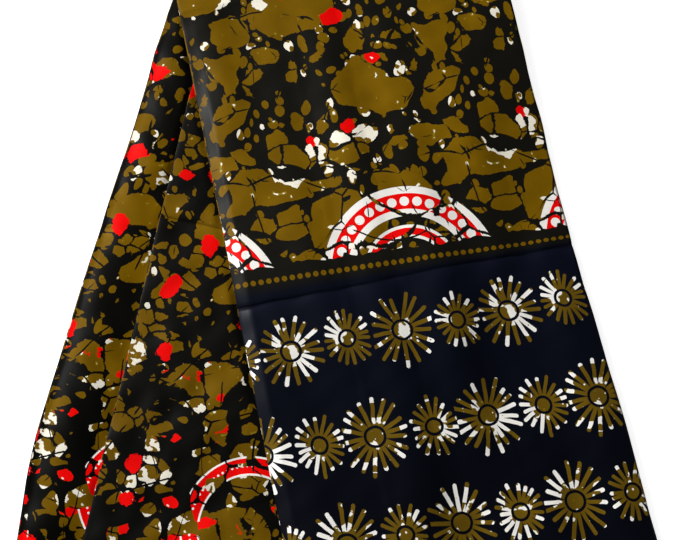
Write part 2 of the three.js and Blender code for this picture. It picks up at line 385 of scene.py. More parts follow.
def frontPoints(path, sections, hidden):
    stretch = stretches["front"]
    section = sections[None, :]
    across = foldPlace(path, stretch["length"] - sections) * math.cos(foldLean)
    along = alongAt(stretch, across, section) + endStagger(path, stretch["length"] - section)
    x, y = planPlace(stretch, across, along)
    radius = layerRadius(path)
    outer = 1 - smoothStep(path["layer"][:, None] - cloth["outerLayers"])
    hold = smoothStep(-y / sag["foldHold"])
    # the outer layers come down past the inner ones, the last part of it in a flat bevel
    bevel = np.clip(1 - across / sag["facetWidth"], 0.0, 1.0)
    bevel = np.where(bevel < 0.12, bevel * bevel / 0.24, bevel - 0.06) / 0.94
    ease = 1 - smoothStep((across - 0.003) / (sag["innerEdge"] - 0.003))
    facet = sag["facet"] * smoothStep((along - 0.09) / 0.07)
    drop = ((upperHeight - facet) * ease + facet * bevel) * smoothStep(-y / sag["edgeHold"]) * outer
    relief, line = creaseRelief(frontCreases, across, along, 200)
    relief += hold * (swell("front", x, y) + swell("frontAcross", across, 0.2 * along))
    relief += swell("frontFine", x, y)
    (riseAt, rise), (fallAt, fall) = sag["crownRise"], sag["crownFall"]
    crown = smoothStep((across - riseAt) / rise) * (1 - smoothStep((across - fallAt) / fall))
    relief += sag["crown"] * hold * crown
    sink = hiddenSink(across, stretch["width"], sag["frontSink"]) if hidden else 0.0
    z = restHeight(x, y) + radius - drop + (relief - sink) * radius / halfHeight
    fromSelvedge = stretch["length"] - along
    uv = clothPlace(path, 1, 0 * across, fromSelvedge + skewAt(fromSelvedge) * across)
    return np.stack([x, y, z], axis=-1), uv, line


def turnPoints(path, angles):
    radius = layerRadius(path)
    angle = angles[None, :]
    arc = radius * (math.pi / 2 - angle)
    foldX = foldPlace(path, stretches["front"]["length"] + 0.016 * (math.pi / 2 - angles) / math.pi)
    y = radius * np.cos(angle)
    z = halfHeight + radius * np.sin(angle)
    parity = np.cos(math.pi * (path["layer"][:, None] - 1))
    along = foldX * math.sin(foldLean) - arc * math.cos(foldLean)
    across = foldX * math.cos(foldLean)
    uv = clothPlace(path, parity, arc * math.sin(foldLean),
                    stretches["front"]["length"] - along + printSkew["middle"] * across)
    return np.stack([foldX, y, z], axis=-1), uv, 0 * foldX


def backPoints(path, sections, hidden):
    # sections run from 0 to 1; a fold that joins the two groups spans from one plan to the other
    radius = layerRadius(path)
    group = smoothStep(path["layer"] - cloth["outerLayers"])[:, None]
    foldX = foldPlace(path, cloth["backStart"] + cloth["backReach"] * sections)
    parts = []
    for name, creases, seed, base, full in (("lower", lowerCreases, 300, 0.0, lowerHeight),
                                            ("upper", upperCreases, 400, lowerHeight, upperHeight)):
        stretch = stretches[name]
        section = sections[None, :] * stretch["length"]
        across = (foldX - stretch["startX"]) * math.cos(stretch["lean"])
        along = alongAt(stretch, across, section) + endStagger(path, stretch["length"] - section)
        x, y = planPlace(stretch, across, along)
        cover = leftEdgeX(stretches["front"], -y)
        if name == "lower":
            cover = np.minimum(cover, leftEdgeX(stretches["upper"], -y))
        free = smoothStep((cover - x) / 0.007)
        share = np.clip((halfHeight - radius - base) / full, 0.0, 1.0)
        lift, line = creaseRelief(creases, across, along, seed)
        ease = smoothStep(section / 0.05)
        lift += ease * (swell("back", x, y, seed) + swell("backDown", 0.3 * x, y, seed))
        lift += swell("backFine", x, y, seed)
        if name == "upper":
            beside = np.maximum(0.0, leftEdgeX(stretches["front"], -y) - x)
            for height, reach in zip(sag["puff"], sag["puffReach"]):
                lift += height * (1 - np.exp(-beside / reach)) * ease
        else:
            toCrest = np.clip(1 - across / sag["crestRise"], 0.0, 1.0)
            fall, fallReach = sag["crestFall"]
            crest = sag["crest"] * (1 - toCrest ** 2) - sag["crestDip"]
            lift += ease * (crest - fall * smoothStep((across - sag["crestRise"]) / fallReach))
        # held above the lowest: d / (1 + (d / lowest)^4)^(1/4) of the depth d
        depth = np.maximum(0.0, -lift)
        lift = np.maximum(lift, 0.0) - depth / (1 + (depth / sag["lowest"]) ** 4) ** 0.25
        sink = hiddenSink(across, stretch["width"], sag["backSink"]) if hidden else 0.0
        z = halfHeight - radius + (lift * free - sink) * share
        fromSelvedge = stretches["front"]["length"] + radius * math.pi + along
        parts.append((x, y, z, fromSelvedge + printSkew["middle"] * across, line))
    x, y, z, fromSelvedge, line = ((1 - group) * low + group * high for low, high in zip(*parts))
    return np.stack([x, y, z], axis=-1), clothPlace(path, 1, 0 * x, fromSelvedge), line


def rowPlaces(start, end, step, closeTo=()):
    # even rows, with closer ones on both sides of each pressed crease
    places = [np.linspace(start, end, int(round((end - start) / step)) + 1)]
    offsets = np.array([0.0, 0.0008, 0.0017, 0.0028, 0.0042, 0.0060, 0.0085])
    for place in closeTo:
        places.append(place + np.concatenate([-offsets, offsets]))
    rows = np.unique(np.round(np.concatenate(places), 5))
    rows = rows[(rows >= start) & (rows <= end)]
    return rows[np.concatenate([[True], np.diff(rows) > 0.0004])]


turnAngles = np.linspace(math.pi / 2, -math.pi / 2, 15)[1:-1]


def layCloth(name, points, uv, line, keep=None):
    # a grid of four-sided faces over the samples and rows, less those that other pieces make
    count, rows = points.shape[:2]
    place = points + np.array([cornerX, cornerY, 0.0])
    number = np.arange(count * rows).reshape(count, rows)
    corners = np.stack([number[:-1, :-1], number[:-1, 1:], number[1:, 1:], number[1:, :-1]], axis=-1)
    if keep is not None:
        corners = corners[keep]
    faces = corners.reshape(-1, 4)
    used = np.unique(faces)
    renumber = np.zeros(count * rows, dtype=int)
    renumber[used] = np.arange(len(used))
    faces = renumber[faces]
    mesh = bpy.data.meshes.new(name)
    mesh.vertices.add(len(used))
    mesh.vertices.foreach_set("co", place.reshape(-1, 3)[used].astype(np.float32).ravel())
    mesh.loops.add(faces.size)
    mesh.loops.foreach_set("vertex_index", faces.ravel().astype(np.int32))
    mesh.polygons.add(len(faces))
    mesh.polygons.foreach_set("loop_start", np.arange(0, faces.size, 4, dtype=np.int32))
    mesh.polygons.foreach_set("use_smooth", np.ones(len(faces), dtype=bool))
    layer = mesh.uv_layers.new(name="Cloth")
    layer.data.foreach_set("uv", uv.reshape(-1, 2)[used][faces.ravel()].astype(np.float32).ravel())
    # painted crease shade and highlight, which the material uses to darken and lighten the colour
    paintedCreaseShading = mesh.attributes.new("Pressed", "FLOAT", "POINT")
    paintedCreaseShading.data.foreach_set("value", line.ravel()[used].astype(np.float32))
    mesh.update()
    mesh.validate()
    piece = bpy.data.objects.new(name, mesh)
    bpy.context.scene.collection.objects.link(piece)
    wall = piece.modifiers.new("wall", "SOLIDIFY")
    wall.thickness = cloth["thickness"]
    wall.offset = 0.0
    print(name, len(faces), "faces")
    return piece


def stackRows(path, frontRows, backRows, hidden):
    # front rows from the selvedge up to the fold, then round the fold, then down the back
    parts = []
    if frontRows is not None:
        parts.append(frontPoints(path, frontRows[::-1], hidden))
        parts.append(turnPoints(path, turnAngles))
    if backRows is not None:
        parts.append(backPoints(path, backRows, hidden))
    return [np.concatenate(arrays, axis=1) for arrays in zip(*parts)]


tuckShare = cloth["tuck"] / cloth["wideFold"]
tuckSteps = np.linspace(0.0, tuckShare, 4)

# The top layer of the front half, over the fold: from its cut edge at the right to the fold at its left
front = {"step": 0.0027, "creases": (0.034, 0.342)}
shares = np.linspace(1.0, 0.0, int(cloth["wideFold"] / front["step"]) + 1)
frontRows = rowPlaces(0.0, stretches["front"]["length"], front["step"], front["creases"])
frontPath = layerPath([(1, shares), (2, tuckSteps)])
frontPanel = layCloth("frontPanel", *stackRows(frontPath, frontRows, np.array([0.0]), False))

# The lowest layer of the front half rests on the two groups of the back half, each seen by its top layer
upper = {"step": 0.0030, "rowStep": 0.0060, "seen": 0.45}
seen = np.linspace(0.0, upper["seen"], int(upper["seen"] * cloth["narrowFold"] / upper["step"]) + 1)
under = np.linspace(upper["seen"], 1.0, 14)[1:]
upperCrease = upperCreases["across"][0]["at"] / stretches["upper"]["length"]
backRows = rowPlaces(0.0, 1.0, upper["rowStep"], (upperCrease,))
upperPath = layerPath([(17, tuckSteps[::-1] * cloth["wideFold"] / cloth["narrowFold"]),
                       (18, np.concatenate([seen, under]))])
backUpper = layCloth("backUpper", *stackRows(upperPath, None, backRows, False))

lower = {"step": 0.0030, "seen": 0.35}
seen = np.linspace(0.0, lower["seen"], int(lower["seen"] * cloth["wideFold"] / lower["step"]) + 1)
under = np.linspace(lower["seen"], 1.0, 16)[1:]
lowerPath = layerPath([(7, tuckSteps[::-1]), (8, np.concatenate([seen, under]))])
backLower = layCloth("backLower", *stackRows(lowerPath, None, backRows, False))

# All the other layers, one long strip folded back and forth
stack = {"step": 0.0125, "backStep": 0.025}
shares = np.array([0.0, 0.004, 0.014, 0.035, 0.055, 0.08, 0.115, 0.16, 0.3, 0.5, 0.7, 0.84, 0.92, 0.965,
                   0.986, 0.996, 1.0])
startShares = {2: tuckShare, 7: tuckShare, 17: tuckShare * cloth["wideFold"] / cloth["narrowFold"]}


def hiddenShares(layer):
    # the samples of one layer in the order of the path, with one where a showing piece takes over
    extra = [startShares[layer]] if layer in startShares else []
    places = np.unique(np.concatenate([shares, extra]))
    return places[::-1] if layer % 2 == 1 else places


hiddenPath = layerPath([(layer, hiddenShares(layer)) for layer in range(1, cloth["layers"] + 1)])
hiddenRows = rowPlaces(0.0, stretches["front"]["length"], stack["step"], front["creases"])
lowerCrease = lowerCreases["across"][0]["at"] / stretches["lower"]["length"]
hiddenBack = np.union1d(rowPlaces(0.0, 1.0, stack["backStep"]), [lowerCrease])
points, uv, line = stackRows(hiddenPath, hiddenRows, hiddenBack, True)


def pathIndex(layer, share):
    # the sample of a layer at a share of its width
    return int(np.argmin(np.abs(hiddenPath["layer"] - layer) * 10 + np.abs(hiddenPath["share"] - share)))


overFold = len(hiddenRows) + len(turnAngles)
keep = np.ones((points.shape[0] - 1, points.shape[1] - 1), dtype=bool)
keep[:pathIndex(2, startShares[2]), :overFold] = False
keep[pathIndex(7, startShares[7]):pathIndex(8, 1.0), overFold:] = False
keep[pathIndex(17, startShares[17]):, overFold:] = False
hiddenLayers = layCloth("hiddenLayers", points, uv, line, keep)
print("cloth laid")

# Small helpers that make shader nodes

def plug(tree, socket, value):
    if isinstance(value, bpy.types.NodeSocket):
        tree.links.new(value, socket)
    else:
        socket.default_value = value


def calc(tree, operation, *values):
    node = tree.nodes.new("ShaderNodeMath")
    node.operation = operation
    for socket, value in zip(node.inputs, values):
        plug(tree, socket, value)
    return node.outputs[0]


def times(tree, first, second):
    return calc(tree, "MULTIPLY", first, second)


def plus(tree, first, second):
    return calc(tree, "ADD", first, second)


def minus(tree, first, second):
    return calc(tree, "SUBTRACT", first, second)


def calcVector(tree, operation, *values):
    node = tree.nodes.new("ShaderNodeVectorMath")
    node.operation = operation
    for socket, value in zip(node.inputs, values):
        plug(tree, socket, value)
    return node.outputs["Value" if operation == "DOT_PRODUCT" else "Vector"]


def scaled(tree, vector, factor):
    node = tree.nodes.new("ShaderNodeVectorMath")
    node.operation = "SCALE"
    plug(tree, node.inputs["Vector"], vector)
    plug(tree, node.inputs["Scale"], factor)
    return node.outputs["Vector"]


def split(tree, vector):
    node = tree.nodes.new("ShaderNodeSeparateXYZ")
    plug(tree, node.inputs[0], vector)
    return node.outputs[0], node.outputs[1], node.outputs[2]


def joined(tree, x, y, z):
    node = tree.nodes.new("ShaderNodeCombineXYZ")
    for socket, value in zip(node.inputs, (x, y, z)):
        plug(tree, socket, value)
    return node.outputs[0]


def between(tree, value, low, high):
    # 0 below low, 1 above high, smooth in between
    node = tree.nodes.new("ShaderNodeMapRange")
    node.interpolation_type = "SMOOTHSTEP"
    plug(tree, node.inputs["Value"], value)
    plug(tree, node.inputs["From Min"], low)
    plug(tree, node.inputs["From Max"], high)
    return node.outputs["Result"]


def mixed(tree, factor, first, second):
    node = tree.nodes.new("ShaderNodeMix")
    node.data_type = "RGBA"
    plug(tree, node.inputs["Factor"], factor)
    plug(tree, node.inputs[6], first)
    plug(tree, node.inputs[7], second)
    return node.outputs[2]


def rootOfSquares(tree, x, y):
    # the root of x^2 + y^2
    return calc(tree, "SQRT", plus(tree, times(tree, x, x), times(tree, y, y)))


def oneMinus(tree, value):
    # 1 minus the value
    return minus(tree, 1.0, value)


def plusPart(tree, pair, share):
    # the pair's first value plus its second times the share
    return plus(tree, pair[0], times(tree, share, pair[1]))


def noiseAt(tree, vector, size, detail=0.0, rough=0.5):
    node = tree.nodes.new("ShaderNodeTexNoise")
    node.noise_dimensions = "3D"
    plug(tree, node.inputs["Vector"], vector)
    plug(tree, node.inputs["Scale"], 1.0 / size)
    plug(tree, node.inputs["Detail"], detail)
    plug(tree, node.inputs["Roughness"], rough)
    return node.outputs[0], node.outputs[1]


def cellsAt(tree, vector, size, feature):
    node = tree.nodes.new("ShaderNodeTexVoronoi")
    node.voronoi_dimensions = "3D"
    node.feature = feature
    plug(tree, node.inputs["Vector"], vector)
    plug(tree, node.inputs["Scale"], 1.0 / size)
    distance = times(tree, node.outputs["Distance"], size)
    if feature == "DISTANCE_TO_EDGE":
        return distance, None, None
    return distance, node.outputs["Color"], node.outputs["Position"]


def chanceAt(tree, vector):
    node = tree.nodes.new("ShaderNodeTexWhiteNoise")
    node.noise_dimensions = "3D"
    plug(tree, node.inputs["Vector"], vector)
    return node.outputs["Value"], node.outputs["Color"]


def newGroup(name, inputs, outputs):
    tree = bpy.data.node_groups.new(name, "ShaderNodeTree")
    for label, kind, value in inputs:
        socket = tree.interface.new_socket(label, in_out="INPUT", socket_type=kind)
        if value is not None:
            socket.default_value = value
    for label, kind in outputs:
        tree.interface.new_socket(label, in_out="OUTPUT", socket_type=kind)
    ins = tree.nodes.new("NodeGroupInput").outputs
    outs = tree.nodes.new("NodeGroupOutput").inputs
    return tree, ins, outs


def placeGroup(tree, group, **values):
    node = tree.nodes.new("ShaderNodeGroup")
    node.node_tree = group
    for label, value in values.items():
        plug(tree, node.inputs[label], value)
    return node.outputs


vectorKind, valueKind, colourKind = "NodeSocketVector", "NodeSocketFloat", "NodeSocketColor"

repeatWidth = 212.0


def buildRollGroup():
    tree, ins, outs = newGroup(
        "repeatRoll", [("Cloth", vectorKind, None)],
        [("Roll", vectorKind), ("Across", valueKind), ("Down", valueKind)])
    across, down, _ = split(tree, scaled(tree, ins["Cloth"], 1000.0))
    turn = times(tree, across, 2 * math.pi / repeatWidth)
    radius = repeatWidth / (2 * math.pi)
    x = times(tree, calc(tree, "COSINE", turn), radius)
    y = times(tree, calc(tree, "SINE", turn), radius)
    plug(tree, outs["Roll"], joined(tree, x, y, down))
    plug(tree, outs["Across"], calc(tree, "FLOORED_MODULO", across, repeatWidth))
    plug(tree, outs["Down"], down)
    return tree


# The crackle, in millimetres. Each size is a plain length, or a start and what chance or place adds to it.
crackleLook = {
    "slow": (36.0, 1.0), "quick": (6.5, 3.0, 0.72),     # noises that bend the edges
    "drift": 20.0, "jag": 1.4, "ragged": (2.8, 1.8),
    "large": 58.0, "largeReach": 37.0,
    "middle": 25.0, "middleReach": (13.2, 4.0),
    "pebble": 10.5, "pebbleReach": (2.4, 3.2), "pebbleShape": (1.0, 1.0, 0.78),
    "widthChange": 32.0,        # veins grow wider and narrower over this distance
    "vein": (0.7, 4.8), "middleVein": (0.5, 1.8), "backVein": (1.0, 0.6),
    "cracks": [(70.0, 0.8, 400.0, 0.46), (36.0, 0.5, 900.0, 0.60)],     # cell, half width, shift, level
    "crackBend": (8.0, 1.2), "crackBreak": 17.0,
    "spot": 6.5, "haloFrom": 0.715, "spotFrom": (0.785, 0.80), "bloom": 26.0, "patch": 13.0,
    "red": 40.0, "redReach": (5.6, 6.0, 2.4), "redEdge": (1.6, 2.4),
}
# Shares of the cells, each a start and what place adds to it
crackleShares = {
    "whole": (0.50, 0.32, -0.08),       # large cells in one piece: more near the border, fewer on the back
    "lakes": (0.09, -0.08, 0.08),       # large cells that hold only pebbles
    "middleLost": (0.16, 0.12), "pebblesLost": 0.12,
    "patched": (0.12, 0.16), "patchedLarge": 0.6, "whitePebbles": 0.16,
    "redCells": (0.0, 0.20), "redSpots": (0.34, 0.26),
}
# Places down the cloth in the cells' own coordinates, each a pair between which a change is eased in
crackleChanges = {
    "crazedTo": (440.0, 520.0), "backFrom": (740.0, 840.0), "farFrom": (1243.0, 1358.0),
    "farMiddleFrom": (1277.0, 1404.0), "redFrom": (1370.0, 1440.0),
}


def buildCrackleGroup():
    tree, ins, outs = newGroup(
        "waxCrackle",
        [("Roll", vectorKind, None), ("Cells", vectorKind, None), ("Pebbles", vectorKind, None)],
        [("Olive", valueKind), ("White", valueKind), ("Halo", valueKind), ("Red", valueKind),
         ("Open", valueKind)])
    look, shares, changes = crackleLook, crackleShares, crackleChanges
    roll = ins["Roll"]
    # here and below, noises read at a shift of their own don't follow each other
    _, slow = noiseAt(tree, roll, *look["slow"])
    _, quick = noiseAt(tree, roll, *look["quick"])
    drift = calcVector(tree, "SUBTRACT", slow, (0.5, 0.5, 0.5))
    jag = calcVector(tree, "SUBTRACT", quick, (0.5, 0.5, 0.5))
    bend = calcVector(tree, "ADD", scaled(tree, drift, look["drift"]), scaled(tree, jag, look["jag"]))
    soft = calcVector(tree, "ADD", ins["Pebbles"], bend)
    onBack = between(tree, split(tree, ins["Cells"])[2], *changes["backFrom"])
    ragged = scaled(tree, jag, plusPart(tree, look["ragged"], onBack))
    rough = calcVector(tree, "ADD", calcVector(tree, "ADD", ins["Cells"], bend), ragged)

    def gapAndChance(place, size):
        # half the difference of the distances to the two nearest centres, and facts of the nearest one
        near, chance, centre = cellsAt(tree, place, size, "F1")
        far, _, _ = cellsAt(tree, place, size, "F2")
        gap = times(tree, minus(tree, far, near), 0.5)
        return gap, near, split(tree, centre)[2], *split(tree, chance)

    largeGap, largeNear, largeDown, largeA, largeB, _ = gapAndChance(rough, look["large"])
    middleGap, middleNear, middleDown, middleA, middleB, middleC = gapAndChance(rough, look["middle"])
    # shares that change from the border to the middle of the cloth and on to the far border, cell by cell
    crazed = oneMinus(tree, between(tree, largeDown, *changes["crazedTo"]))
    backLarge = between(tree, largeDown, *changes["backFrom"])
    farMiddle = between(tree, middleDown, *changes["farMiddleFrom"])
    sparse = minus(tree, backLarge, between(tree, largeDown, *changes["farFrom"]))
    sparseMiddle = minus(tree, between(tree, middleDown, *changes["backFrom"]), farMiddle)
    wholeShare = plusPart(tree, shares["whole"][:2], crazed)
    wholeShare = plusPart(tree, (wholeShare, shares["whole"][2]), backLarge)
    lakes = plusPart(tree, shares["lakes"][:2], crazed)
    lakes = plusPart(tree, (lakes, shares["lakes"][2]), sparse)
    oval = calcVector(tree, "MULTIPLY", soft, look["pebbleShape"])
    smallNear, smallChance, _ = cellsAt(tree, oval, look["pebble"], "F1")
    smallA, smallB, smallC = split(tree, smallChance)

    width, _ = noiseAt(tree, calcVector(tree, "ADD", roll, (0.0, 0.0, 300.0)), look["widthChange"], 1.0)
    largeVein = plusPart(tree, look["vein"], between(tree, width, 0.34, 0.64))
    middleVein = plusPart(tree, look["middleVein"], between(tree, width, 0.40, 0.66))
    middleVein = times(tree, middleVein, plusPart(tree, look["backVein"], onBack))
    inLarge = between(tree, largeGap, largeVein, plus(tree, largeVein, 0.3))
    inMiddle = between(tree, middleGap, middleVein, plus(tree, middleVein, 0.25))
    # a round limit on each cell takes its far corners off
    inLarge = times(tree, inLarge, calc(tree, "LESS_THAN", largeNear, look["largeReach"]))
    middleReach = plusPart(tree, look["middleReach"], middleB)
    inMiddle = times(tree, inMiddle, calc(tree, "LESS_THAN", middleNear, middleReach))
    inSmall = calc(tree, "LESS_THAN", smallNear, plusPart(tree, look["pebbleReach"], smallC))

    whole = calc(tree, "LESS_THAN", largeA, wholeShare)
    lake = calc(tree, "GREATER_THAN", largeA, oneMinus(tree, lakes))
    dry = oneMinus(tree, lake)
    kept = calc(tree, "GREATER_THAN", middleA, plusPart(tree, shares["middleLost"], sparseMiddle))
    body = calc(tree, "MAXIMUM", whole, times(tree, inMiddle, kept))
    body = times(tree, times(tree, body, inLarge), dry)
    outside = oneMinus(tree, times(tree, inLarge, dry))
    hole = times(tree, times(tree, inMiddle, inLarge), oneMinus(tree, kept))
    outside = calc(tree, "MAXIMUM", outside, times(tree, hole, oneMinus(tree, whole)))
    pebbles = times(tree, inSmall, calc(tree, "GREATER_THAN", smallA, shares["pebblesLost"]))
    pebbles = times(tree, pebbles, outside)
    olive = calc(tree, "MAXIMUM", body, pebbles)

    # cracks: the edges of two more sets of cells, drawn thin and broken up
    crackLine = None
    driftBend, jagBend = look["crackBend"]
    for size, half, shift, low in look["cracks"]:
        base = calcVector(tree, "ADD", roll, (shift, 0.0, 0.0))
        base = calcVector(tree, "ADD", base, scaled(tree, drift, driftBend))
        base = calcVector(tree, "ADD", base, scaled(tree, jag, jagBend))
        edge, _, _ = cellsAt(tree, base, size, "DISTANCE_TO_EDGE")
        shown, _ = noiseAt(tree, calcVector(tree, "ADD", roll, (0.0, shift, 0.0)), look["crackBreak"], 0.0)
        start = plusPart(tree, (low, -0.12), plus(tree, crazed, farMiddle))
        thick = times(tree, between(tree, shown, start, plus(tree, start, 0.16)), half)
        line = calc(tree, "LESS_THAN", edge, thick)
        crackLine = line if crackLine is None else calc(tree, "MAXIMUM", crackLine, line)

    # white: spots inside olive cells with a yellow rim, a few patches, and a few whole pebbles
    spots, _ = noiseAt(tree, roll, look["spot"], 0.5)
    bloom, _ = noiseAt(tree, calcVector(tree, "ADD", roll, (70.0, 0.0, 0.0)), look["bloom"], 0.0)
    spotLevel = plus(tree, spots, times(tree, between(tree, bloom, 0.5, 0.74), 0.07))
    white = between(tree, spotLevel, *look["spotFrom"])
    halo = between(tree, spotLevel, look["haloFrom"], look["spotFrom"][0])
    patch, _ = noiseAt(tree, calcVector(tree, "ADD", rough, (0.0, 50.0, 0.0)), look["patch"], 1.0)
    patchCell = calc(tree, "LESS_THAN", middleB, plusPart(tree, shares["patched"], farMiddle))
    patchCell = times(tree, patchCell, calc(tree, "LESS_THAN", largeB, shares["patchedLarge"]))
    whitePatch = times(tree, patchCell, between(tree, patch, 0.5, 0.51))
    chosen = calc(tree, "GREATER_THAN", smallB, 1 - shares["whitePebbles"])
    pebbleWhite = times(tree, pebbles, chosen)
    pebbleWhite = times(tree, pebbleWhite, calc(tree, "GREATER_THAN", spots, 0.47))
    white = calc(tree, "MAXIMUM", calc(tree, "MAXIMUM", white, whitePatch), pebbleWhite)
    white = times(tree, white, olive)

    # red: whole middle cells in some places, and round spots of its own
    least, onFar = shares["redCells"]
    redPatch = calc(tree, "GREATER_THAN", middleC, plusPart(tree, (1 - least, -onFar), farMiddle))
    redShape = between(tree, middleGap, *look["redEdge"])
    redCells = times(tree, times(tree, redPatch, redShape), olive)
    apart = calcVector(tree, "ADD", scaled(tree, jag, 4.5), (0.0, 0.0, 700.0))
    apart = calcVector(tree, "ADD", soft, apart)
    redNear, redChance, redCentre = cellsAt(tree, apart, look["red"], "F1")
    redA, redB, _ = split(tree, redChance)
    backRed = between(tree, split(tree, redCentre)[2], *changes["redFrom"])
    least, byChance, onFar = look["redReach"]
    redReach = plusPart(tree, (least, byChance), times(tree, redA, redA))
    redReach = plus(tree, redReach, times(tree, backRed, onFar))
    inReach = calc(tree, "LESS_THAN", redNear, redReach)
    chosen = calc(tree, "LESS_THAN", redB, plusPart(tree, shares["redSpots"], backRed))
    redSpots = times(tree, inReach, chosen)
    red = calc(tree, "MAXIMUM", redCells, redSpots)
    olive = calc(tree, "MAXIMUM", olive, redSpots)

    clear = oneMinus(tree, crackLine)
    plug(tree, outs["Olive"], times(tree, olive, clear))
    plug(tree, outs["White"], times(tree, white, clear))
    plug(tree, outs["Halo"], halo)
    plug(tree, outs["Red"], times(tree, red, clear))
    plug(tree, outs["Open"], times(tree, between(tree, largeGap, 1.1, 1.4), clear))
    return tree


# A row of burst motifs in every row pitch: four in each repeat, small and large in turn, each row shifted
# against the next. Each is a solid middle inside a dark ring, with round-ended rays of its own lengths.
# In millimetres, apart from counts and shares; a pair is a start and what a large star, the row or chance
# adds to it.
starLook = {
    "pair": 106.0,      # a small and a large star take this much of a row
    "rowShift": (20.0, 60.0),
    "centre": (23.5, 52.0), "largeFrom": 46.5,
    "reach": (21.2, 9.0), "middleRow": 1.0, "taller": (0.30, -0.12),
    "rays": 17.0, "rayHalf": (1.72, 0.16), "rayLength": (0.82, 0.20),
    "core": (6.2, 1.6), "darkRing": 2.6,
    "stray": (2.0, 3.0),        # of each star from its place, across and down, from end to end
    "bend": (14.0, 1.8), "blotch": 15.0, "speck": 4.2,      # sizes of noises; the bend also has a height
}
# Where a star is white: shares of a ray, and levels of the noises and of chance
starWhite = {
    "sector": (1.15, -0.9), "inSector": 0.22,   # the cosine that bounds the sector, and the rays left out
    "tipFrom": (0.70, 0.95), "rayFrom": (0.22, 0.45),   # where white begins outside the sector, and in it
    "short": 0.8, "finish": (4.0, -7.0),        # it ends past the ray, or short of it on the luckiest ones
    "side": (14.0, 0.18), "blotch": (0.575, 0.60), "fleck": 0.79, "unfleck": 0.20,
}


